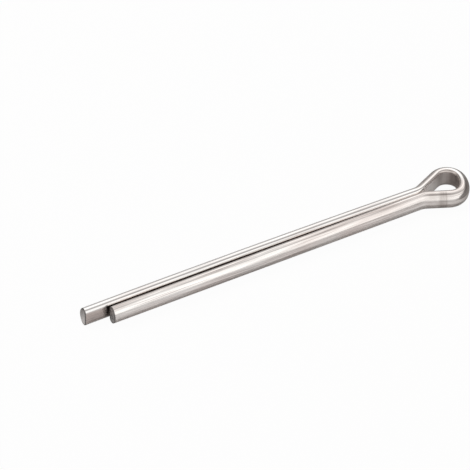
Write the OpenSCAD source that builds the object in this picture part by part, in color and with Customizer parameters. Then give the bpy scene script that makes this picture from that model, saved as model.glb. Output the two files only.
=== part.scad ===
/* [Wire] */
// Radius of the half-round wire, half the width of the closed shank
wire_r = 1.82; // [1:0.02:3]
// Rounding where the wire's flat meets its round side
corner_r = 0.62; // [0.1:0.02:0.8]

/* [Eye] */
// Inside radius of the eye's shoulders, which is the wire's flat
shoulder_r = 1.62; // [1.2:0.02:4]
// Inside radius of the eye's flatter far end
end_r = 3.6; // [2:0.1:8]
// Angle that the far end sweeps
end_span = 44; // [10:1:60]
// Angle by which the far end is skewed towards the longer leg
end_skew = 26; // [0:1:40]
// Angle by which each side of the eye leans out from the shank
eye_lean = 25; // [18:1:40]
// Bend radius of the neck, measured on the wire's flat
neck_r = 4.35; // [3.2:0.05:6]
// Swelling of the wire's surface where it is bent
bend_swell = 0.01; // [0.005:0.005:0.05]

/* [Legs] */
// Straight length of the shorter leg, from the neck to its cut end
leg_len = 56; // [20:1:120]
// How far the longer leg runs on past the shorter one
leg_step = 4; // [0.5:0.5:10]
// Gap between the flats at the neck
neck_gap = 0.1; // [0.05:0.05:0.5]
// Angle by which each leg leans away from the pin's middle plane
leg_splay = 0.2; // [0:0.05:1]
// Edge break round the outside of each cut end
end_break = 0.15; // [0.05:0.05:0.5]

/* [Hidden] */
$fn = 72;

// Wire section: the corner's centre lies corner_r in from the flat and touches the round side from inside
corner_z = sqrt(pow(wire_r - corner_r, 2) - pow(corner_r, 2));
corner_turn = atan2(corner_z, corner_r);
half_height = corner_z + corner_r + bend_swell;

// Directions in which the wire runs into the far end and out of it
end_in = 90 - end_skew - end_span / 2;
end_out = 90 - end_skew + end_span / 2;

// Neck: how far its bend carries the flat along the pin and away from the middle plane
neck_turn = eye_lean + leg_splay;
neck_run = neck_r * (sin(leg_splay) + sin(eye_lean));
neck_rise = neck_r * (cos(leg_splay) - cos(eye_lean));

// Sides of the eye: the straight runs that close the loop between the necks and the shoulders
loop_x = (end_r - shoulder_r) * (sin(end_out) - sin(end_in));
loop_y = 2 * shoulder_r * cos(eye_lean) + (end_r - shoulder_r) * (cos(end_in) - cos(end_out));
side_sum = (loop_y - neck_gap - 2 * neck_rise) / sin(eye_lean);
side_odds = loop_x / cos(eye_lean);
short_side = (side_sum - side_odds) / 2;
long_side = (side_sum + side_odds) / 2;

// How far a run reaches into a bend and still lies under the bend's swollen surface
lap = sqrt(bend_swell * min(neck_r - wire_r, shoulder_r));

// Bend centres in the pin's plane, from the neck, with the legs running towards -X
shoulder_1 = [neck_run + short_side * cos(eye_lean) + shoulder_r * sin(eye_lean),
    -neck_gap / 2 - neck_rise - short_side * sin(eye_lean) + shoulder_r * cos(eye_lean)];
end_middle = shoulder_1 + (end_r - shoulder_r) * [-sin(end_in), cos(end_in)];
shoulder_2 = end_middle + (end_r - shoulder_r) * [sin(end_out), -cos(end_out)];

// Reach of the pin along X, and the middle of the eye across it
long_end_x = -(leg_len + leg_step) * cos(leg_splay);
eye_end_x = max(shoulder_2[0] + shoulder_r, end_out < 90 ? 0 : end_middle[0] + end_r) + wire_r + bend_swell;
eye_middle_y = (shoulder_1[1] + shoulder_2[1]) / 2;

// Half-round section with its flat on x = 0 and its round side towards +x, swollen all round by grow
module wire_section(grow = 0) {
    round_r = wire_r + grow;
    arc_x = round_r * cos(corner_turn);
    arc_z = round_r * sin(corner_turn);
    intersection() {
        circle(r = round_r);
        translate([arc_x, -round_r]) square([round_r, 2 * round_r]);
    }
    polygon([
        [-grow, -corner_z], [corner_r, -corner_z], [arc_x, -arc_z],
        [arc_x, arc_z], [corner_r, corner_z], [-grow, corner_z]
    ]);
    for (side = [0, 1]) mirror([0, side]) section_corner(corner_r + grow);
}

// The rounded sector that fills one corner of the section, from the flat round to the arc
module section_corner(r) {
    reach = 2 * r;
    translate([corner_r, corner_z]) intersection() {
        circle(r = r);
        polygon([
            [0, 0], [reach * cos(corner_turn), reach * sin(corner_turn)],
            [-reach, reach * sin(corner_turn)], [-reach, 0]
        ]);
    }
}

// Wire running from the origin towards -X, with its flat facing +Y
module straight_wire(length) {
    rotate([90, 0, -90]) linear_extrude(length) wire_section();
}

// A leg from the neck to its cut end, with the edge broken round the outside of the cut
module leg(length) {
    difference() {
        translate([lap, 0, 0]) straight_wire(length + lap);
        translate([-length, 0, 0]) rotate([0, 90, 0]) end_cutter();
    }
}

// Ring that leaves a cone standing at the leg's end, coaxial with the leg
module end_cutter() {
    translate([0, 0, -end_break]) difference() {
        cylinder(r = 2 * wire_r, h = 3 * end_break);
        cylinder(r1 = wire_r - 2 * end_break, r2 = wire_r + end_break, h = 3 * end_break);
    }
}

// Bend at the neck, from the leg's end at the origin round a centre on the wire's round side
module neck_bend() {
    translate([0, -neck_r, 0]) rotate_extrude(angle = neck_turn, start = 90 - neck_turn)
        translate([neck_r, 0]) mirror([1, 0]) wire_section(bend_swell);
}

// Straight side of the eye, from the neck's bend to a shoulder
module eye_side(length) {
    translate([0, -neck_r, 0]) rotate([0, 0, -neck_turn])
        translate([length + lap, neck_r, 0]) straight_wire(length + 2 * lap);
}

// One half of the pin at -Y: a leg, its neck bend and its side of the eye
module pin_half(leg_length, side_length) {
    translate([0, -neck_gap / 2, 0]) rotate([0, 0, leg_splay]) {
        leg(leg_length);
        neck_bend();
        eye_side(side_length);
    }
}

// A bend of the eye round its centre, from one running direction to another, with the flat inside
module eye_bend(centre, r, from, to, swell) {
    translate([centre[0], centre[1], 0]) rotate_extrude(angle = to - from, start = from - 90)
        translate([r, 0]) wire_section(swell);
}

// The far round of the eye: both shoulders, and the flatter end that laps into them
module eye_round() {
    end_lap = lap / end_r * 180 / PI;
    eye_bend(shoulder_1, shoulder_r, -eye_lean, end_in, bend_swell);
    eye_bend(end_middle, end_r, end_in - end_lap, end_out + end_lap, bend_swell / 2);
    eye_bend(shoulder_2, shoulder_r, end_out, 180 + eye_lean, bend_swell);
}

// One length of half-round wire, folded round the eye, lying flat with its middle over the origin
module cotter_pin() {
    color("silver") translate([-(long_end_x + eye_end_x) / 2, -eye_middle_y, half_height]) {
        eye_round();
        pin_half(leg_len, short_side);
        mirror([0, 1, 0]) pin_half(leg_len + leg_step, long_side);
    }
}

cotter_pin();
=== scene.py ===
"""A split cotter pin of bright half-round drawn wire, lying on a plain pale floor.

The wire's section is swept from the shorter leg's end, round the eye and along the longer leg, with
extrude and spin steps. Every point remembers where it lay in the straight wire, so the draw lines and
the marks of forming follow the bends.
"""

import logging
import math
from dataclasses import dataclass, field, replace
from enum import Enum

import bmesh
import bpy
from mathutils import Matrix, Vector


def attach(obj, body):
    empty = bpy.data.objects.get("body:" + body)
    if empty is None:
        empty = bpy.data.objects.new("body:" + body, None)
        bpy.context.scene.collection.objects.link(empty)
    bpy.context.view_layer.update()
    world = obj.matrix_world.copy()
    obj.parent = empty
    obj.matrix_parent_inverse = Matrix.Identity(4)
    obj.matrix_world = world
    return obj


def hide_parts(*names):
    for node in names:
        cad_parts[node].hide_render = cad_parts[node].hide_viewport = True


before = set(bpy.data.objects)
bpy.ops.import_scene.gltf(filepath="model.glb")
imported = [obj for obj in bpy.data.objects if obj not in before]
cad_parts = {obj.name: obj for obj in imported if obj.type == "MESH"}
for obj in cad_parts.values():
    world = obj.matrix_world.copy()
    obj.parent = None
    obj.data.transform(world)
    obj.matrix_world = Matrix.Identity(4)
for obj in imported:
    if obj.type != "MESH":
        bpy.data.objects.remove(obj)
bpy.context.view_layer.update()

LOG = logging.getLogger("cotter_pin")
MM = 0.001
UP = Vector((0.0, 0.0, 1.0))
WHITE = (1.0, 1.0, 1.0)
WIRE_ATTRIBUTE = "straight_wire"
RING_NUMBER = "ring_number"
WIRE_UV = "wire_uv"

RGB = tuple[float, float, float]
Pair = tuple[float, float]
Socket = bpy.types.NodeSocket
Element = bmesh.types.BMVert | bmesh.types.BMEdge | bmesh.types.BMFace


def mm(first: float, second: float) -> Pair:
    """Turns two lengths in millimetres into metres."""
    return first * MM, second * MM


def add_object(name: str, bm: bmesh.types.BMesh, *materials: bpy.types.Material) -> bpy.types.Object:
    """Makes an object of a finished shape and links it to the scene.

    Args:
        name: The object's name.
        bm: Its shape, which is freed.
        *materials: Its materials, in the order of its slots.

    Returns:
        The object.
    """
    mesh = bpy.data.meshes.new(name)
    bm.to_mesh(mesh)
    bm.free()
    for material in materials:
        mesh.materials.append(material)
    made = bpy.data.objects.new(name, mesh)
    bpy.context.scene.collection.objects.link(made)
    return made


class Turn(Enum):
    """The way a bend goes, seen from above and walking along the wire."""

    LEFT = 1
    RIGHT = -1


class Slot(Enum):
    """Material slots of the pin's mesh, in order."""

    DRAWN = 0
    CUT = 1
    CUT_EDGE = 2
    # The shorter leg's cut, darkened as painted shade.
    DULL_CUT = 3


@dataclass(frozen=True)
class WireSection:
    """Half-round section of the wire, in metres."""

    round_r: float
    corner_r: float
    arc_steps: int = 30
    corner_steps: int = 12
    flat_cuts: int = 13

    @property
    def corner_z(self) -> float:
        """Height of a corner's centre above the section's middle."""
        return math.sqrt((self.round_r - self.corner_r) ** 2 - self.corner_r ** 2)

    @property
    def corner_turn(self) -> float:
        """Angle at which a corner runs into the round side."""
        return math.atan2(self.corner_z, self.corner_r)

    def draw(self, bm: bmesh.types.BMesh) -> list[bmesh.types.BMEdge]:
        """Draws the section in the plane x = 0, flat on y = 0 and round side towards -y.

        Args:
            bm: The empty mesh that takes the section.

        Returns:
            The edges of the closed loop.
        """
        first = bm.verts.new((0.0, 0.0, self.corner_z))
        corner_angle = math.pi - self.corner_turn
        top = Vector((0.0, -self.corner_r, self.corner_z))
        bottom = Vector((0.0, -self.corner_r, -self.corner_z))
        last = self._arc(bm, first, top, corner_angle, self.corner_steps)
        last = self._arc(bm, last, Vector(), 2 * self.corner_turn, self.arc_steps)
        last = self._arc(bm, last, bottom, corner_angle, self.corner_steps)
        flat = bm.edges.new((last, first))
        bmesh.ops.subdivide_edges(bm, edges=[flat], cuts=self.flat_cuts)
        return list(bm.edges)

    def outline(self) -> list[Vector]:
        """Draws the section by itself.

        Returns:
            Its points, in the order in which every section is drawn.
        """
        sample = bmesh.new()
        self.draw(sample)
        points = [vert.co.copy() for vert in sample.verts]
        sample.free()
        return points

    @staticmethod
    def _arc(bm: bmesh.types.BMesh, start: bmesh.types.BMVert, centre: Vector,
             angle: float, steps: int) -> bmesh.types.BMVert:
        """Spins a vertex round a centre in the section's plane.

        Args:
            bm: The mesh that holds the vertex.
            start: The vertex that the arc starts from.
            centre: The arc's centre.
            angle: The arc's angle in radians.
            steps: How many edges the arc has.

        Returns:
            The arc's last vertex.
        """
        spun = bmesh.ops.spin(bm, geom=[start], cent=centre, axis=(1.0, 0.0, 0.0), angle=angle, steps=steps)
        return next(item for item in spun["geom_last"] if isinstance(item, bmesh.types.BMVert))


class WirePart(Enum):
    """Stretches of the wire, each with its own section, in order."""

    SHORT_LEG = WireSection(round_r=1.80 * MM, corner_r=0.685 * MM)
    EYE = WireSection(round_r=1.80 * MM, corner_r=0.575 * MM)
    LONG_LEG = WireSection(round_r=1.87 * MM, corner_r=0.74 * MM)


class WireSweep:
    """Carries the wire along straight runs and bends, and notes each point's place in the straight wire.

    The wire is upset where it is bent, so its section goes over from one stretch's to the next in the necks.
    """

    def __init__(self, start: Vector, heading: float) -> None:
        """Draws the shorter leg's section at the wire's start.

        Args:
            start: The point on the flat where the wire starts.
            heading: The direction of the wire in plan, in radians from +X.
        """
        self.bm = bmesh.new()
        self.place = self.bm.verts.layers.float_vector.new(WIRE_ATTRIBUTE)
        self.number = self.bm.verts.layers.int.new(RING_NUMBER)
        self.point = start.copy()
        self.heading = heading
        self.travelled = 0.0
        self.share = 0.0
        self.part = WirePart.SHORT_LEG
        self.coming = WirePart.SHORT_LEG
        self.shapes = {part: part.value.outline() for part in WirePart}
        self.front = self.part.value.draw(self.bm)
        self.first = list(self.front)
        for number, vert in enumerate(self.bm.verts):
            vert[self.number] = number
            vert[self.place] = vert.co
        self._lay(list(self.bm.verts))

    def straight(self, length: float, steps: int) -> None:
        """Runs the wire straight on.

        Args:
            length: The run's length.
            steps: How many rings the run is cut into.
        """
        ahead = Vector((math.cos(self.heading), math.sin(self.heading), 0.0)) * (length / steps)
        for _ in range(steps):
            made = bmesh.ops.extrude_edge_only(self.bm, edges=self.front)["geom"]
            self.point += ahead
            self._note(made, length / steps)

    def bend(self, turn: Turn, radius: float, angle: float, steps: int,
             into: WirePart | None = None) -> None:
        """Bends the wire round a centre beside its flat.

        Args:
            turn: The way the bend goes.
            radius: The bend's radius at the wire's flat.
            angle: The bend's angle in radians.
            steps: How many rings the bend is cut into.
            into: The stretch whose section the wire has when the bend ends, if it changes.
        """
        left = Vector((-math.sin(self.heading), math.cos(self.heading), 0.0))
        centre = self.point + left * (radius * turn.value)
        step = turn.value * angle / steps
        swing = Matrix.Rotation(step, 3, "Z")
        self.coming = into or self.part
        for number in range(steps):
            made = bmesh.ops.spin(self.bm, geom=self.front, cent=centre, axis=UP, angle=step, steps=1)
            self.point = centre + swing @ (self.point - centre)
            self.heading += step
            self.share = (number + 1) / steps
            self._note(made["geom_last"], radius * angle / steps)
        self.part = self.coming
        self.share = 0.0

    def _note(self, made: list[Element], length: float) -> None:
        """Moves the front to a new ring, lays it in place and notes how far along the wire it lies.

        Args:
            made: What the last step made.
            length: The step's length along the flat.
        """
        self.travelled += length
        verts = {item for item in made if isinstance(item, bmesh.types.BMVert)}
        edges = [item for item in made if isinstance(item, bmesh.types.BMEdge)]
        self.front = [edge for edge in edges if verts.issuperset(edge.verts)]
        for vert in verts:
            out, height = vert[self.place].yz
            vert[self.place] = (self.travelled, out, height)
        self._lay(list(verts))

    def _lay(self, verts: list[bmesh.types.BMVert]) -> None:
        """Lays a ring's points square to the wire, eased from one stretch's section to the next.

        Args:
            verts: The ring's points.
        """
        ease = self.share * self.share * (3.0 - 2.0 * self.share)
        stand = Matrix.Translation(self.point) @ Matrix.Rotation(self.heading, 4, "Z")
        old, new = self.shapes[self.part], self.shapes[self.coming]
        for vert in verts:
            number = vert[self.number]
            vert.co = stand @ old[number].lerp(new[number], ease)


@dataclass
class PinSizes:
    """Sizes of the pin, in metres and degrees, as its solid has them, and the bow of its longer leg."""

    wire_r: float = 1.82 * MM
    half_height: float = 1.657 * MM
    shoulder_r: float = 1.62 * MM
    end_r: float = 3.6 * MM
    end_span: float = 44.0
    end_skew: float = 26.0
    eye_lean: float = 25.0
    neck_r: float = 4.35 * MM
    bend_swell: float = 0.01 * MM
    leg_len: float = 56.0 * MM
    leg_step: float = 4.0 * MM
    neck_gap: float = 0.1 * MM
    leg_splay: float = 0.2
    bow_leave: float = 0.85
    bow_r: float = 2282.0 * MM
    end_spare: float = 0.025 * MM

    @property
    def lean(self) -> float:
        """Lean of the eye's sides, in radians."""
        return math.radians(self.eye_lean)

    @property
    def splay(self) -> float:
        """Lean of the straight leg, in radians."""
        return math.radians(self.leg_splay)

    @property
    def leave(self) -> float:
        """Angle at which the bowed leg leaves its neck, in radians."""
        return math.radians(self.bow_leave)

    @property
    def end_in(self) -> float:
        """Direction in which the wire runs into the eye's far end, in radians."""
        return math.radians(90.0 - self.end_skew - self.end_span / 2)

    @property
    def end_out(self) -> float:
        """Direction in which the wire leaves the eye's far end, in radians."""
        return math.radians(90.0 - self.end_skew + self.end_span / 2)

    @property
    def end_step(self) -> Vector:
        """How far the second shoulder's centre lies from the first one's."""
        along = math.sin(self.end_out) - math.sin(self.end_in)
        across = math.cos(self.end_in) - math.cos(self.end_out)
        return Vector((along, across, 0.0)) * (self.end_r - self.shoulder_r)

    @property
    def sides(self) -> tuple[float, float]:
        """Lengths of the eye's straight sides that close the loop, the shorter leg's first."""
        across = 2 * self.shoulder_r * math.cos(self.lean) + self.end_step.y
        both = (across - self.neck_gap - 2 * self.neck_step.y) / math.sin(self.lean)
        odds = self.end_step.x / math.cos(self.lean)
        return (both - odds) / 2, (both + odds) / 2

    @property
    def neck_step(self) -> Vector:
        """How far the neck's bend carries the flat along the pin and away from its middle plane."""
        along = math.sin(self.splay) + math.sin(self.lean)
        across = math.cos(self.splay) - math.cos(self.lean)
        return Vector((along, across, 0.0)) * self.neck_r

    @property
    def neck(self) -> Vector:
        """Where the split starts when the pin lies with the middle of its box over the origin."""
        side = self.sides[0]
        near_x = self.neck_step.x + side * math.cos(self.lean) + self.shoulder_r * math.sin(self.lean)
        near_y = -self.neck_gap / 2 - self.neck_step.y - side * math.sin(self.lean)
        near_y += self.shoulder_r * math.cos(self.lean)
        long_end = -(self.leg_len + self.leg_step) * math.cos(self.splay)
        eye_end = near_x + self.end_step.x + self.shoulder_r + self.wire_r + self.bend_swell
        return Vector((-(long_end + eye_end) / 2, -near_y - self.end_step.y / 2, self.half_height))


@dataclass(frozen=True)
class Band:
    """A band with soft ends: where it fades in and where it fades out."""

    rise: Pair
    fall: Pair


@dataclass(frozen=True)
class Stripe:
    """A thin line with soft sides: its middle, and how far from it its sides fade out."""

    middle: float
    side: Pair


class NodeSheet:
    """A node tree with short calls to add nodes and links."""

    def __init__(self, tree: bpy.types.NodeTree) -> None:
        """Takes the tree that it fills."""
        self.tree = tree

    @classmethod
    def of(cls, owner: bpy.types.Material | bpy.types.World) -> "NodeSheet":
        """Opens the nodes of a material or a world and clears them.

        Args:
            owner: The material or the world.

        Returns:
            Its empty sheet.
        """
        owner.use_nodes = True
        owner.node_tree.nodes.clear()
        return cls(owner.node_tree)

    def add(self, kind: str, inputs: dict[int | str, object] | None = None,
            **settings: object) -> bpy.types.Node:
        """Adds a node.

        Args:
            kind: The node's type.
            inputs: Socket name or number to a value or to the socket that feeds it.
            **settings: The node's own properties.

        Returns:
            The node.
        """
        node = self.tree.nodes.new(kind)
        for name, value in settings.items():
            setattr(node, name, value)
        for key, value in (inputs or {}).items():
            self.feed(node.inputs[key], value)
        return node

    def feed(self, entry: Socket, value: float | tuple[float, ...] | Socket) -> None:
        """Links a socket to another one or gives it a value of its own.

        Args:
            entry: The socket.
            value: The socket that feeds it, or its value, which for a colour has no alpha.
        """
        if isinstance(value, Socket):
            self.tree.links.new(value, entry)
        elif entry.type == "RGBA":
            entry.default_value = (*value, 1.0)
        else:
            entry.default_value = value

    def math(self, operation: str, first: float | Socket, second: float | Socket = 0.0) -> Socket:
        """Adds a Math node.

        Args:
            operation: The node's operation.
            first: Its first value.
            second: Its second value.

        Returns:
            The result's socket.
        """
        return self.add("ShaderNodeMath", {0: first, 1: second}, operation=operation).outputs[0]

    def product(self, first: Socket, *others: float | Socket) -> Socket:
        """Multiplies values.

        Args:
            first: The first value.
            *others: The values that it is multiplied by, one after another.

        Returns:
            The product's socket.
        """
        for other in others:
            first = self.math("MULTIPLY", first, other)
        return first

    def scale(self, vector: Socket, parts: tuple[float, float, float] | Socket) -> Socket:
        """Multiplies a vector by another, part by part."""
        return self.add("ShaderNodeVectorMath", {0: vector, 1: parts}, operation="MULTIPLY").outputs[0]

    def blend(self, share: Socket, low: RGB | Socket, high: RGB | Socket, way: str = "MIX") -> Socket:
        """Mixes two colours.

        Args:
            share: How much of the second colour shows.
            low: The first colour.
            high: The second colour.
            way: The node's way to mix.

        Returns:
            The mixed colour's socket.
        """
        node = self.add("ShaderNodeMix", {0: share}, data_type="RGBA", blend_type=way)
        colours = [entry for entry in node.inputs if entry.type == "RGBA"]
        for entry, value in zip(colours, (low, high)):
            self.feed(entry, value)
        return next(out for out in node.outputs if out.type == "RGBA")

    def span(self, value: Socket, edge: Pair, low: float, high: float) -> Socket:
        """Maps a value from one range to another, held at its ends.

        Args:
            value: The value.
            edge: The range that it comes from.
            low: Start of the range that it goes to.
            high: End of that range.

        Returns:
            The mapped value's socket.
        """
        ends = {0: value, 1: edge[0], 2: edge[1], 3: low, 4: high}
        return self.add("ShaderNodeMapRange", ends, clamp=True).outputs[0]

    def rise(self, value: Socket, edge: Pair) -> Socket:
        """Goes from 0 to 1 over a soft edge."""
        return self.span(value, edge, 0.0, 1.0)

    def fall(self, value: Socket, edge: Pair) -> Socket:
        """Goes from 1 to 0 over a soft edge."""
        return self.span(value, edge, 1.0, 0.0)

    def band(self, value: Socket, band: Band) -> Socket:
        """Is 1 inside a band and 0 outside it."""
        return self.product(self.rise(value, band.rise), self.fall(value, band.fall))

    def stripe(self, value: Socket, stripe: Stripe) -> Socket:
        """Is 1 on a thin line and 0 beside it."""
        off = self.math("ABSOLUTE", self.math("SUBTRACT", value, stripe.middle))
        return self.fall(off, stripe.side)


@dataclass(frozen=True)
class GrainLayer:
    """One noise of the grain: its output, its scale along and across the lines, its detail and roughness."""

    output: str
    along: float
    across: float
    detail: float
    rough: float


class GrainGroup:
    """Shader group of fine parallel lines, broken along their length, as drawing or shearing leaves them."""

    NAME = "Parallel grain"
    INPUTS = {"Vector": "NodeSocketVector", "Length": "NodeSocketFloat", "Width": "NodeSocketFloat"}
    LAYERS = (
        GrainLayer(output="Lines", along=1.0, across=1.0, detail=4.0, rough=0.7),
        GrainLayer(output="Cloud", along=1.0, across=0.12, detail=2.0, rough=0.5),
        GrainLayer(output="Scores", along=0.6, across=1.9, detail=1.0, rough=0.5),
    )

    @classmethod
    def get(cls) -> bpy.types.NodeTree:
        """Builds the group once.

        Returns:
            The group, with inputs Vector, Length, Width and outputs Lines, Cloud and Scores.
        """
        known = bpy.data.node_groups.get(cls.NAME)
        if known:
            return known
        tree = bpy.data.node_groups.new(cls.NAME, "ShaderNodeTree")
        for name, kind in cls.INPUTS.items():
            tree.interface.new_socket(name, in_out="INPUT", socket_type=kind)
        for layer in cls.LAYERS:
            tree.interface.new_socket(layer.output, in_out="OUTPUT", socket_type="NodeSocketFloat")
        sheet = NodeSheet(tree)
        given = sheet.add("NodeGroupInput").outputs
        along = sheet.math("DIVIDE", 1.0, given["Length"])
        across = sheet.math("DIVIDE", 1.0, given["Width"])
        parts = sheet.add("ShaderNodeCombineXYZ", {0: along, 1: across, 2: across}).outputs[0]
        stretched = sheet.scale(given["Vector"], parts)
        ends = {}
        for layer in cls.LAYERS:
            place = sheet.scale(stretched, (layer.along, layer.across, layer.across))
            noise = {"Vector": place, "Scale": 1.0, "Detail": layer.detail, "Roughness": layer.rough}
            ends[layer.output] = sheet.add("ShaderNodeTexNoise", noise).outputs[0]
        sheet.add("NodeGroupOutput", ends)
        return tree


@dataclass
class Coat:
    """A finish under way: its nodes, the points' places in the straight wire, its grain and its looks."""

    sheet: NodeSheet
    place: Socket
    lines: Socket
    cloud: Socket
    colour: Socket
    roughness: Socket

    def cover(self, mask: Socket, colour: RGB) -> None:
        """Lays a colour over the finish."""
        self.colour = self.sheet.blend(mask, self.colour, colour)

    def tint(self, mask: Socket, wash: RGB | Socket) -> None:
        """Multiplies the finish's colour by another."""
        self.colour = self.sheet.blend(mask, self.colour, wash, "MULTIPLY")

    def roughen(self, mask: Socket, amount: float) -> None:
        """Adds to the finish's roughness."""
        self.roughness = self.sheet.math("ADD", self.roughness, self.sheet.product(mask, amount))


@dataclass(frozen=True, kw_only=True)
class SteelFinish:
    """A steel surface with parallel grain."""

    name: str
    dark: RGB
    light: RGB
    score: RGB
    contrast: Pair
    smooth: float
    rough: float
    grain_length: float
    grain_width: float
    grain_depth: float
    stretch: float = 0.0
    stretch_turn: float = 0.25
    line_share: float = 0.75
    score_edge: Pair = (0.55, 0.65)
    rough_edge: Pair = (0.3, 0.7)

    def material(self) -> bpy.types.Material:
        """Builds the finish.

        Returns:
            The material.
        """
        made = bpy.data.materials.new(self.name)
        sheet = NodeSheet.of(made)
        coat = self._grain(sheet)
        self._mark(coat)
        relief = {"Height": coat.lines, "Distance": self.grain_depth, "Strength": 1.0}
        bump = sheet.add("ShaderNodeBump", relief)
        tangent = sheet.add("ShaderNodeTangent", direction_type="UV_MAP", uv_map=WIRE_UV)
        shader = sheet.add("ShaderNodeBsdfPrincipled", {
            "Base Color": coat.colour,
            "Metallic": 1.0,
            "Roughness": coat.roughness,
            "Anisotropic": self.stretch,
            "Anisotropic Rotation": self.stretch_turn,
            "Normal": bump.outputs[0],
            "Tangent": tangent.outputs[0],
        })
        sheet.add("ShaderNodeOutputMaterial", {"Surface": shader.outputs[0]})
        return made

    def _grain(self, sheet: NodeSheet) -> Coat:
        """Lays the grain.

        Args:
            sheet: The material's empty sheet.

        Returns:
            The finish with nothing on it but its grain.
        """
        place = sheet.add("ShaderNodeAttribute", attribute_name=WIRE_ATTRIBUTE).outputs["Vector"]
        given = {"Vector": place, "Length": self.grain_length, "Width": self.grain_width}
        grain = sheet.add("ShaderNodeGroup", given, node_tree=GrainGroup.get()).outputs
        lines = sheet.product(grain["Lines"], self.line_share)
        cloud = sheet.product(grain["Cloud"], 1.0 - self.line_share)
        mixed = sheet.math("ADD", lines, cloud)
        colour = sheet.blend(sheet.rise(mixed, self.contrast), self.dark, self.light)
        roughness = sheet.span(mixed, self.rough_edge, self.rough, self.smooth)
        coat = Coat(sheet, place, grain["Lines"], grain["Cloud"], colour, roughness)
        coat.tint(sheet.rise(grain["Scores"], self.score_edge), self.score)
        return coat

    def _mark(self, coat: Coat) -> None:
        """Leaves the grain as it is, since a cut has no marks of its own."""


@dataclass(frozen=True)
class Patches:
    """Uneven patches: a noise's scale and detail, its range that counts, and the share left between them."""

    scale: float
    detail: float
    edge: Pair
    least: float

    def mask(self, sheet: NodeSheet, place: dict[str, Socket], dimensions: str) -> Socket:
        """Makes the patches' mask.

        Args:
            sheet: The material's sheet.
            place: What the noise reads, by the name of its socket.
            dimensions: The noise's dimensions.

        Returns:
            The mask's socket.
        """
        given = {**place, "Scale": self.scale, "Detail": self.detail}
        noise = sheet.add("ShaderNodeTexNoise", given, noise_dimensions=dimensions)
        return sheet.span(noise.outputs[0], self.edge, self.least, 1.0)


@dataclass(frozen=True)
class WirePlaces:
    """Where drawing, forming and handling marked the wire and where shade is painted on it, in metres, as if
    it were still straight.

    Places out from the flat count below zero. Places along the wire count from the shorter leg's neck,
    and the painted shade beside that leg's end counts from a leg's length past it.
    """

    leg_len: float = PinSizes.leg_len
    flat_edge: Pair = mm(-0.05, -0.005)
    corner: Pair = mm(-0.52, -0.3)
    round_side: Pair = mm(-1.1, -0.7)
    crown: Band = Band(mm(-1.25, -1.0), mm(-0.73, -0.55))
    die_line: Stripe = Stripe(-0.32 * MM, mm(0.05, 0.13))
    # Painted shade: a dark edge on the eye's near side.
    eye_edge_shade: Stripe = Stripe(-0.64 * MM, mm(0.04, 0.13))
    eye_crown: Stripe = Stripe(-1.30 * MM, mm(0.03, 0.12))
    short_split: Band = Band(mm(-16.0, -10.0), mm(-5.5, -2.5))
    eye: Band = Band(mm(0.4, 2.2), mm(16.3, 18.8))
    near_side: Band = Band(mm(0.4, 2.2), mm(4.8, 7.0))
    crown_stop: Pair = mm(1.5, 3.5)
    tool: Band = Band(mm(3.5, 4.0), mm(4.75, 5.2))
    pressed: Band = Band(mm(4.5, 8.8), mm(11.3, 14.3))
    polished: Band = Band(mm(7.8, 9.6), mm(11.3, 14.3))
    far_crown: Band = Band(mm(13.5, 15.0), mm(19.0, 21.5))
    long_leg: Pair = mm(18.8, 20.5)
    long_split: Band = Band(mm(22.5, 25.5), mm(30.0, 36.0))
    # Painted shade: the shorter leg's end shadows and darkly mirrors in the longer leg's flat here.
    end_shade: Band = Band(mm(18.0, 19.0), mm(19.85, 20.7))


class WireMasks:
    """Masks that more than one of the wire's marks needs, as sockets of one material."""

    def __init__(self, coat: Coat, places: WirePlaces) -> None:
        """Makes the masks.

        Args:
            coat: The finish that they are for.
            places: Where the marks are.
        """
        sheet = coat.sheet
        split = sheet.add("ShaderNodeSeparateXYZ", {0: coat.place}).outputs
        self.run = split["X"]
        self.out = split["Y"]
        self.along = sheet.math("SUBTRACT", self.run, places.leg_len)
        self.flat = sheet.rise(self.out, places.flat_edge)
        self.off_flat = sheet.fall(self.flat, (0.0, 1.0))
        self.round_side = sheet.fall(self.out, places.round_side)
        self.eye = sheet.band(self.along, places.eye)
        self.near_side = sheet.band(self.along, places.near_side)
        self.pressed = sheet.band(self.along, places.pressed)


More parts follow.
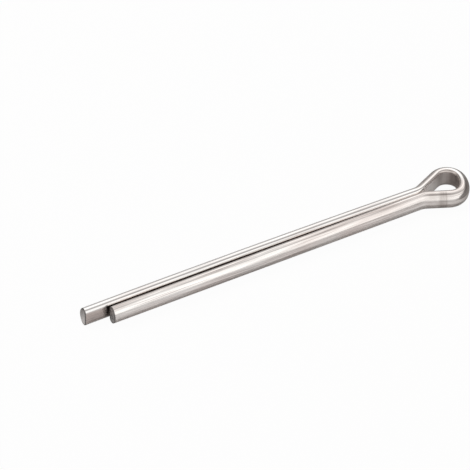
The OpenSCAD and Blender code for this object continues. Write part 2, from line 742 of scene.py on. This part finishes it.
@dataclass(frozen=True, kw_only=True)
class DrawnFinish(SteelFinish):
    """Drawn wire, with the marks that drawing, forming and handling left on it, and with painted shade."""

    cast: RGB
    long_leg: RGB
    long_leg_share: float
    polish: RGB
    polish_share: float
    # Partly a pressed mark, partly painted shade in the corner inside the eye's far end.
    pressed_and_shaded_corner: RGB
    # Tone of the die line, and of the painted shade edge on the eye's near side.
    line: RGB
    bend: RGB
    blotches: Patches
    pressed_share: float
    tool: RGB
    streaks: Patches
    crown: RGB
    crown_share: float
    eye_crown: RGB
    flat: RGB
    eye_flat: RGB
    eye_flat_share: float
    # Partly a pressed mark, partly painted shade inside the eye's far end.
    pressed_and_shaded_flat: RGB
    split_flat: RGB
    # Painted shade of the shorter leg's end on the longer leg's flat.
    end_shade: RGB
    flat_rough: float
    bend_rough: float
    eye_flat_rough: float
    places: WirePlaces = WirePlaces()

    def _mark(self, coat: Coat) -> None:
        """Lays the wire's marks and its painted shade over its grain, one kind after another.

        Args:
            coat: The finish with its grain.
        """
        masks = WireMasks(coat, self.places)
        coat.tint(coat.sheet.fall(coat.cloud, self.contrast), self.cast)
        self._legs_and_eye(coat, masks)
        self._die_line_and_edge_shade(coat, masks)
        self._forming(coat, masks)
        self._crowns(coat, masks)
        self._flats(coat, masks)
        coat.roughen(masks.flat, self.flat_rough)
        coat.roughen(masks.eye, self.bend_rough)
        coat.roughen(coat.sheet.product(masks.eye, masks.flat), self.eye_flat_rough)

    def _legs_and_eye(self, coat: Coat, masks: WireMasks) -> None:
        """Brightens the longer leg and the outside of the eye's far end, and darkens the corner inside it,
        partly as a pressed mark and partly as painted shade.

        Args:
            coat: The finish.
            masks: Its masks.
        """
        sheet = coat.sheet
        long_leg = sheet.rise(masks.along, self.places.long_leg)
        coat.cover(sheet.product(long_leg, masks.off_flat, self.long_leg_share), self.long_leg)
        far_end = sheet.product(sheet.band(masks.along, self.places.polished), self.polish_share)
        outside = sheet.fall(masks.out, self.places.corner)
        coat.cover(sheet.product(far_end, outside), self.polish)
        inside = sheet.rise(masks.out, self.places.corner)
        # The corner inside the eye's far end is darkened partly as a pressed mark and partly as painted
        # shade.
        coat.tint(sheet.product(far_end, inside, masks.off_flat), self.pressed_and_shaded_corner)

    def _die_line_and_edge_shade(self, coat: Coat, masks: WireMasks) -> None:
        """Draws the line that the die left along the whole wire, and a painted dark edge of shade in the
        same tone on the eye's near side.

        Args:
            coat: The finish.
            masks: Its masks.
        """
        sheet = coat.sheet
        whole = sheet.stripe(masks.out, self.places.die_line)
        # Painted shade: a dark edge along the eye's near side.
        second = sheet.product(sheet.stripe(masks.out, self.places.eye_edge_shade), masks.near_side)
        coat.tint(sheet.math("MAXIMUM", whole, second), self.line)

    def _forming(self, coat: Coat, masks: WireMasks) -> None:
        """Dulls the bent round side in blotches, and lays streaks across it where the tool held the wire.

        Args:
            coat: The finish.
            masks: Its masks.
        """
        sheet = coat.sheet
        blotched = self.blotches.mask(sheet, {"Vector": coat.place}, "3D")
        spared = sheet.span(masks.pressed, (0.0, 1.0), 1.0, self.pressed_share)
        coat.tint(sheet.product(masks.eye, blotched, masks.round_side, spared), self.bend)
        streaked = self.streaks.mask(sheet, {"W": masks.run}, "1D")
        held = sheet.band(masks.along, self.places.tool)
        coat.tint(sheet.product(streaked, held, masks.round_side), self.tool)

    def _crowns(self, coat: Coat, masks: WireMasks) -> None:
        """Rubs the crown dull along the shorter leg and the eye's far side, and draws it on the near side.

        Args:
            coat: The finish.
            masks: Its masks.
        """
        sheet = coat.sheet
        crown = sheet.band(masks.out, self.places.crown)
        short_leg = sheet.fall(masks.along, self.places.crown_stop)
        far_side = sheet.band(masks.along, self.places.far_crown)
        scored = sheet.span(coat.lines, self.contrast, 1.0, self.crown_share)
        coat.tint(sheet.product(crown, sheet.math("MAXIMUM", short_leg, far_side), scored), self.crown)
        crest = sheet.stripe(masks.out, self.places.eye_crown)
        coat.tint(sheet.product(crest, masks.near_side), self.eye_crown)

    def _flats(self, coat: Coat, masks: WireMasks) -> None:
        """Greys the flat: less in the eye and deep in the split, more where it was pressed, partly as
        painted shade, and most beside the shorter leg's end, as painted shade.

        Args:
            coat: The finish.
            masks: Its masks.
        """
        sheet = coat.sheet
        coat.cover(sheet.product(masks.eye, masks.flat, self.eye_flat_share), self.polish)
        shade = sheet.blend(masks.eye, self.flat, self.eye_flat)
        # Inside the eye's far end the flat is darkened partly as a pressed mark and partly as painted shade.
        shade = sheet.blend(masks.pressed, shade, self.pressed_and_shaded_flat)
        for stretch in (self.places.short_split, self.places.long_split):
            shade = sheet.blend(sheet.band(masks.along, stretch), shade, self.split_flat)
        # Painted shade and dark reflection of the shorter leg's end on the longer leg's flat.
        beside_end = sheet.math("SUBTRACT", masks.along, self.places.leg_len)
        shade = sheet.blend(sheet.band(beside_end, self.places.end_shade), shade, self.end_shade)
        coat.tint(masks.flat, shade)


DRAWN_STEEL = DrawnFinish(
    name="drawn_steel",
    dark=(0.73, 0.695, 0.67),
    light=(1.0, 0.98, 0.955),
    score=(0.74, 0.715, 0.71),
    contrast=(0.38, 0.62),
    smooth=0.10,
    rough=0.18,
    grain_length=9.0 * MM,
    grain_width=0.30 * MM,
    grain_depth=0.0022 * MM,
    stretch=0.4,
    cast=(1.0, 0.965, 0.957),
    long_leg=(0.90, 0.91, 0.91),
    long_leg_share=0.45,
    polish=(1.0, 0.99, 0.98),
    polish_share=0.85,
    # Partly a pressed mark, partly painted shade in the corner inside the eye's far end.
    pressed_and_shaded_corner=(0.62, 0.60, 0.59),
    # Tone of the die line, and of the painted shade edge on the eye's near side.
    line=(0.56, 0.545, 0.54),
    bend=(0.80, 0.775, 0.765),
    blotches=Patches(scale=900.0, detail=3.0, edge=(0.35, 0.65), least=0.55),
    pressed_share=0.3,
    tool=(0.70, 0.68, 0.67),
    streaks=Patches(scale=4200.0, detail=2.0, edge=(0.38, 0.62), least=0.45),
    crown=(0.77, 0.755, 0.75),
    crown_share=0.3,
    eye_crown=(0.60, 0.585, 0.58),
    flat=(0.76, 0.715, 0.70),
    eye_flat=(0.99, 1.0, 1.0),
    eye_flat_share=0.6,
    # Partly a pressed mark, partly painted shade inside the eye's far end.
    pressed_and_shaded_flat=(0.425, 0.387, 0.375),
    split_flat=(0.94, 0.965, 1.0),
    # Painted shade of the shorter leg's end on the longer leg's flat.
    end_shade=(0.35, 0.335, 0.33),
    flat_rough=0.08,
    bend_rough=0.04,
    eye_flat_rough=0.2,
)
SHEARED_STEEL = SteelFinish(
    name="sheared_steel",
    dark=(0.52, 0.505, 0.495),
    light=(0.72, 0.705, 0.69),
    score=(0.8, 0.8, 0.8),
    contrast=(0.35, 0.65),
    smooth=0.34,
    rough=0.5,
    grain_length=0.5 * MM,
    grain_width=0.12 * MM,
    grain_depth=0.006 * MM,
)
SHEARED_EDGE = replace(
    SHEARED_STEEL,
    name="sheared_edge",
    dark=(0.09, 0.085, 0.08),
    light=(0.30, 0.285, 0.28),
    smooth=0.3,
    grain_length=0.4 * MM,
    grain_width=0.3 * MM,
    grain_depth=0.01 * MM,
)
# The shorter leg's cut: mottled, and darker than the longer leg's cut as painted shade from the split beside
# it.
SHADED_SHEARED_STEEL = replace(
    SHEARED_STEEL,
    name="shaded_sheared_steel",
    dark=(0.20, 0.193, 0.19),
    light=(0.70, 0.69, 0.68),
    contrast=(0.40, 0.60),
    grain_length=1.2 * MM,
    grain_width=0.6 * MM,
)


@dataclass
class CotterPin:
    """The pin: one length of wire, swept from the shorter leg's end round the eye to the longer leg's.

    Its lengths are in metres and the slant of its cuts in degrees.
    """

    name: str = "cotter_pin_wire"
    sizes: PinSizes = field(default_factory=PinSizes)
    ring_gap: float = 0.8 * MM
    neck_steps: int = 14
    side_steps: int = 8
    shoulder_steps: int = 30
    end_steps: int = 20
    cut_slant: float = 1.5
    end_round: float = 0.16 * MM
    end_round_steps: int = 4

    def build(self) -> bpy.types.Object:
        """Sweeps the wire, closes its ends and dresses it.

        Returns:
            The finished piece.
        """
        sweep = self._sweep()
        bm = sweep.bm
        self._cut_end(bm, sweep.first, Slot.DULL_CUT)
        self._cut_end(bm, sweep.front, Slot.CUT)
        bmesh.ops.recalc_face_normals(bm, faces=list(bm.faces))
        self._map_uv(bm, sweep.place)
        finishes = {
            Slot.DRAWN: DRAWN_STEEL,
            Slot.CUT: SHEARED_STEEL,
            Slot.CUT_EDGE: SHEARED_EDGE,
            Slot.DULL_CUT: SHADED_SHEARED_STEEL,
        }
        piece = add_object(self.name, bm, *(finishes[slot].material() for slot in Slot))
        piece.data.shade_smooth()
        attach(piece, "root")
        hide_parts("cotter_pin")
        return piece

    def _sweep(self) -> WireSweep:
        """Sweeps the wire along both legs and round the eye.

        Returns:
            The sweep, open at both ends.
        """
        sizes = self.sizes
        along = Vector((math.cos(sizes.splay), math.sin(sizes.splay), 0.0))
        flat = sizes.neck - Vector((0.0, sizes.neck_gap / 2, 0.0))
        sweep = WireSweep(flat - along * sizes.leg_len, sizes.splay)
        short_side, long_side = sizes.sides
        sweep.straight(sizes.leg_len, self._rings(sizes.leg_len))
        sweep.bend(Turn.RIGHT, sizes.neck_r, sizes.lean + sizes.splay, self.neck_steps, WirePart.EYE)
        sweep.straight(short_side, self.side_steps)
        sweep.bend(Turn.LEFT, sizes.shoulder_r, sizes.lean + sizes.end_in, self.shoulder_steps)
        sweep.bend(Turn.LEFT, sizes.end_r, sizes.end_out - sizes.end_in, self.end_steps)
        sweep.bend(Turn.LEFT, sizes.shoulder_r, math.pi + sizes.lean - sizes.end_out, self.shoulder_steps)
        sweep.straight(long_side, self.side_steps)
        sweep.bend(Turn.RIGHT, sizes.neck_r, sizes.lean + sizes.leave, self.neck_steps, WirePart.LONG_LEG)
        spare = sizes.neck_r * (math.sin(sizes.leave) - math.sin(sizes.splay))
        long_leg = sizes.leg_len + sizes.leg_step - spare - sizes.end_spare
        sweep.bend(Turn.LEFT, sizes.bow_r, long_leg / sizes.bow_r, self._rings(long_leg))
        return sweep

    def _rings(self, length: float) -> int:
        """How many rings a straight run of that length is cut into."""
        return max(1, round(length / self.ring_gap))

    def _cut_end(self, bm: bmesh.types.BMesh, loop: list[bmesh.types.BMEdge], slot: Slot) -> None:
        """Closes an end with its slightly leaning cut face and rounds the edge of the cut.

        Args:
            bm: The wire's mesh.
            loop: The edges of the open end.
            slot: The finish of the cut.
        """
        verts = list({vert for edge in loop for vert in edge.verts})
        lowest = min(verts, key=lambda vert: vert.co.z).co.copy()
        lean = Matrix.Identity(4)
        lean[0][2] = math.tan(math.radians(self.cut_slant))
        bmesh.ops.transform(bm, matrix=lean, space=Matrix.Translation(-lowest), verts=verts)
        face = bmesh.ops.contextual_create(bm, geom=loop)["faces"][0]
        face.material_index = slot.value
        rounded = bmesh.ops.bevel(
            bm, geom=list(face.edges), affect="EDGES", offset=self.end_round, offset_type="OFFSET",
            segments=self.end_round_steps, profile=0.5, material=-1, clamp_overlap=True,
        )
        for strip in rounded["faces"]:
            strip.material_index = Slot.CUT_EDGE.value

    @staticmethod
    def _map_uv(bm: bmesh.types.BMesh, place: bmesh.types.BMLayerItem) -> None:
        """Lays a map with U along the wire and V up the section, for the direction of the grain.

        Args:
            bm: The wire's mesh.
            place: The layer with each point's place in the straight wire.
        """
        layer = bm.loops.layers.uv.new(WIRE_UV)
        for face in bm.faces:
            for corner in face.loops:
                along, out, height = corner.vert[place]
                corner[layer].uv = (along / MM, (height + out) / MM)


def keep_to_reflections(card: bpy.types.Object) -> None:
    """Keeps a stage card out of the picture and out of the plain light.

    Args:
        card: The card.
    """
    card.visible_camera = False
    card.visible_diffuse = False
    card.visible_transmission = False
    card.visible_shadow = False


@dataclass(frozen=True, kw_only=True)
class DarkFlag:
    """A dark card that the pin mirrors, in metres: its middle, stand, half sizes, soft edges and tone."""

    name: str
    middle: tuple[float, float, float]
    upright: bool
    half: Pair
    soft: Pair
    dark: RGB

    def build(self) -> None:
        """Lays the card out and gives it its tone."""
        turn = Matrix.Rotation(-math.pi / 2, 4, "Y") if self.upright else Matrix.Identity(4)
        stretch = Matrix.Diagonal((*self.half, 1.0, 1.0))
        bm = bmesh.new()
        bmesh.ops.create_grid(bm, x_segments=1, y_segments=1, size=1.0, matrix=stretch)
        card = add_object(self.name, bm, self._material())
        card.matrix_world = Matrix.Translation(self.middle) @ turn
        keep_to_reflections(card)

    def _material(self) -> bpy.types.Material:
        """Makes the card's tone, which fades out towards its edges.

        Returns:
            The material.
        """
        made = bpy.data.materials.new(self.name)
        sheet = NodeSheet.of(made)
        place = sheet.add("ShaderNodeTexCoord").outputs["Object"]
        split = sheet.add("ShaderNodeSeparateXYZ", {0: place}).outputs
        fades = []
        for axis, half, soft in zip("XY", self.half, self.soft):
            off = sheet.math("ABSOLUTE", split[axis])
            fades.append(sheet.rise(off, (half - soft, half)))
        edge = sheet.math("MAXIMUM", *fades)
        glow = sheet.add("ShaderNodeEmission", {"Color": self.dark, "Strength": 1.0})
        clear = sheet.add("ShaderNodeBsdfTransparent")
        mixed = sheet.add("ShaderNodeMixShader", {0: edge, 1: glow.outputs[0], 2: clear.outputs[0]})
        sheet.add("ShaderNodeOutputMaterial", {"Surface": mixed.outputs[0]})
        return made


@dataclass(frozen=True)
class TentTone:
    """One tone of the light tent's wall: its brightness at an angle up from the front edge, in degrees."""

    angle: float
    level: float

    @property
    def share(self) -> float:
        """The angle as a share of the half turn that the wall makes."""
        return math.radians(self.angle) / math.pi


@dataclass
class LightTent:
    """A half-round tent over the pin, as for pictures of small bright parts, seen in reflections only."""

    name: str = "light_tent"
    radius: float = 0.55
    length: float = 3.0
    steps: int = 72
    tint: RGB = (1.0, 0.988, 0.977)
    peak: float = 1.4
    tones: tuple[TentTone, ...] = (
        TentTone(0.0, 0.80),
        TentTone(6.0, 0.86),
        TentTone(9.0, 1.14),
        TentTone(45.0, 1.14),
        TentTone(54.0, 0.95),
        TentTone(62.0, 0.70),
        TentTone(70.0, 0.71),
        TentTone(76.0, 0.98),
        TentTone(84.0, 1.12),
        TentTone(104.0, 1.14),
        TentTone(116.0, 1.26),
        TentTone(128.0, 1.29),
        TentTone(140.0, 1.02),
        TentTone(150.0, 0.62),
        TentTone(162.0, 0.46),
        TentTone(180.0, 0.40),
    )

    def build(self) -> None:
        """Spins the tent's wall and gives it its tones."""
        bm = bmesh.new()
        half = self.length / 2
        ends = [bm.verts.new((side * half, -self.radius, 0.0)) for side in (-1.0, 1.0)]
        rim = bm.edges.new(ends)
        bmesh.ops.spin(
            bm, geom=[*ends, rim], cent=(0.0, 0.0, 0.0), axis=(1.0, 0.0, 0.0),
            angle=-math.pi, steps=self.steps,
        )
        keep_to_reflections(add_object(self.name, bm, self._material()))

    def _material(self) -> bpy.types.Material:
        """Makes the wall's glow, toned by the angle up from the front edge.

        Returns:
            The material.
        """
        made = bpy.data.materials.new("tent_wall")
        sheet = NodeSheet.of(made)
        place = sheet.add("ShaderNodeTexCoord").outputs["Object"]
        split = sheet.add("ShaderNodeSeparateXYZ", {0: place}).outputs
        front = sheet.product(split["Y"], -1.0)
        share = sheet.math("DIVIDE", sheet.math("ARCTAN2", split["Z"], front), math.pi)
        ramp = sheet.add("ShaderNodeValToRGB", {0: share})
        stops = ramp.color_ramp.elements
        while len(stops) > 1:
            stops.remove(stops[-1])
        for number, tone in enumerate(self.tones):
            stop = stops[0] if number == 0 else stops.new(tone.share)
            stop.position = tone.share
            level = tone.level / self.peak
            stop.color = (*(level * part for part in self.tint), 1.0)
        glow = sheet.add("ShaderNodeEmission", {"Color": ramp.outputs[0], "Strength": self.peak})
        sheet.add("ShaderNodeOutputMaterial", {"Surface": glow.outputs[0]})
        return made


@dataclass
class Studio:
    """Floor, soft light and camera, with places in metres and the camera's turn and rise in degrees."""

    floor_size: float = 3.0
    floor_colour: RGB = (0.80, 0.772, 0.765)
    floor_glow: float = 0.965
    floor_shine: float = 0.075
    ambient: float = 0.30
    lamp_power: float = 3.5
    lamp_size: float = 0.5
    lamp_place: Vector = field(default_factory=lambda: Vector((-0.2, 0.36, 0.60)))
    azimuth: float = -29.189
    elevation: float = 40.252
    distance: float = 477.1 * MM
    sensor: float = 36.0
    lens: float = 229.05
    nearest: float = 10.0 * MM
    aim: Vector = field(default_factory=lambda: Vector((-4.855, 6.380, 1.657)) * MM)
    tent: LightTent = field(default_factory=LightTent)
    flags: tuple[DarkFlag, ...] = (
        DarkFlag(
            name="flag_past_eye",
            middle=(0.3, -0.13, 0.0),
            upright=True,
            half=(0.15, 0.55),
            soft=(0.085, 0.34),
            dark=(0.15, 0.139, 0.137),
        ),
        # Painted shadow: a dark card on the floor behind the pin, seen only in reflections, stands in for
        # the pin's shadow there.
        DarkFlag(
            name="shadow_card_behind",
            middle=(0.0, 9.0 * MM, 0.02 * MM),
            upright=False,
            half=mm(60.0, 7.0),
            soft=mm(2.0, 2.0),
            dark=(0.26, 0.245, 0.235),
        ),
        # Painted shadow: a dark card on the floor beside the eye, seen only in reflections, stands in for
        # the eye's shadow there.
        DarkFlag(
            name="shadow_card_beside_eye",
            middle=(0.2665, 0.03, 0.03 * MM),
            upright=False,
            half=(0.2335, 0.20),
            soft=(5.0 * MM, 0.14),
            dark=(0.20, 0.186, 0.18),
        ),
    )

    def build(self) -> None:
        """Sets up the whole studio."""
        self._floor()
        self._world()
        self._lamp()
        self.tent.build()
        for flag in self.flags:
            flag.build()
        self._camera()
        bpy.context.scene.view_settings.view_transform = "Standard"

    def _floor(self) -> None:
        """Lays the floor."""
        bm = bmesh.new()
        bmesh.ops.create_grid(bm, x_segments=1, y_segments=1, size=self.floor_size / 2)
        floor = add_object("floor", bm, self._floor_material())

    def _floor_material(self) -> bpy.types.Material:
        """Makes the floor pale and white to the camera, with the pin's shadow kept.

        Returns:
            The material.
        """
        made = bpy.data.materials.new("pale_floor")
        sheet = NodeSheet.of(made)
        path = sheet.add("ShaderNodeLightPath").outputs
        seen = sheet.product(path["Is Camera Ray"], self.floor_glow)
        mirrored = sheet.product(path["Is Glossy Ray"], self.floor_shine)
        share = sheet.math("ADD", seen, mirrored)
        matt = sheet.add("ShaderNodeBsdfDiffuse", {"Color": self.floor_colour})
        glow = sheet.add("ShaderNodeEmission", {"Color": WHITE, "Strength": 1.0})
        mixed = sheet.add("ShaderNodeMixShader", {0: share, 1: matt.outputs[0], 2: glow.outputs[0]})
        sheet.add("ShaderNodeOutputMaterial", {"Surface": mixed.outputs[0]})
        return made

    def _world(self) -> None:
        """Makes the surroundings: white where they are seen, plain soft light elsewhere."""
        world = bpy.data.worlds.new("studio")
        sheet = NodeSheet.of(world)
        path = sheet.add("ShaderNodeLightPath").outputs
        seen = sheet.math("MAXIMUM", path["Is Camera Ray"], path["Is Glossy Ray"])
        seen = sheet.math("MAXIMUM", seen, path["Is Transmission Ray"])
        strength = sheet.span(seen, (0.0, 1.0), self.ambient, 1.0)
        light = sheet.add("ShaderNodeBackground", {"Color": WHITE, "Strength": strength})
        sheet.add("ShaderNodeOutputWorld", {"Surface": light.outputs[0]})
        bpy.context.scene.world = world

    def _lamp(self) -> None:
        """Hangs one soft lamp behind the pin, so that its shadow falls to the front."""
        data = bpy.data.lights.new("soft_lamp", "AREA")
        data.shape = "SQUARE"
        data.size = self.lamp_size
        data.energy = self.lamp_power
        lamp = bpy.data.objects.new("soft_lamp", data)
        lamp.location = self.lamp_place
        lamp.rotation_euler = self.lamp_place.to_track_quat("Z", "Y").to_euler()
        lamp.visible_glossy = False
        bpy.context.scene.collection.objects.link(lamp)

    def _camera(self) -> None:
        """Stands the camera where the photograph was taken from."""
        turn, rise = math.radians(self.azimuth), math.radians(self.elevation)
        back = Vector((math.sin(turn) * math.cos(rise), -math.cos(turn) * math.cos(rise), math.sin(rise)))
        data = bpy.data.cameras.new("camera")
        data.sensor_width = self.sensor
        data.lens = self.lens
        data.clip_start = self.nearest
        camera = bpy.data.objects.new("camera", data)
        camera.location = self.aim + back * self.distance
        camera.rotation_euler = back.to_track_quat("Z", "Y").to_euler()
        bpy.context.scene.collection.objects.link(camera)
        bpy.context.scene.camera = camera


def main() -> None:
    """Builds the pin and the studio, and reports each piece."""
    logging.basicConfig(level=logging.INFO, format="%(message)s")
    piece = CotterPin().build()
    LOG.info("%s: %d faces", piece.name, len(piece.data.polygons))
    Studio().build()


if __name__ == "__main__":
    main()
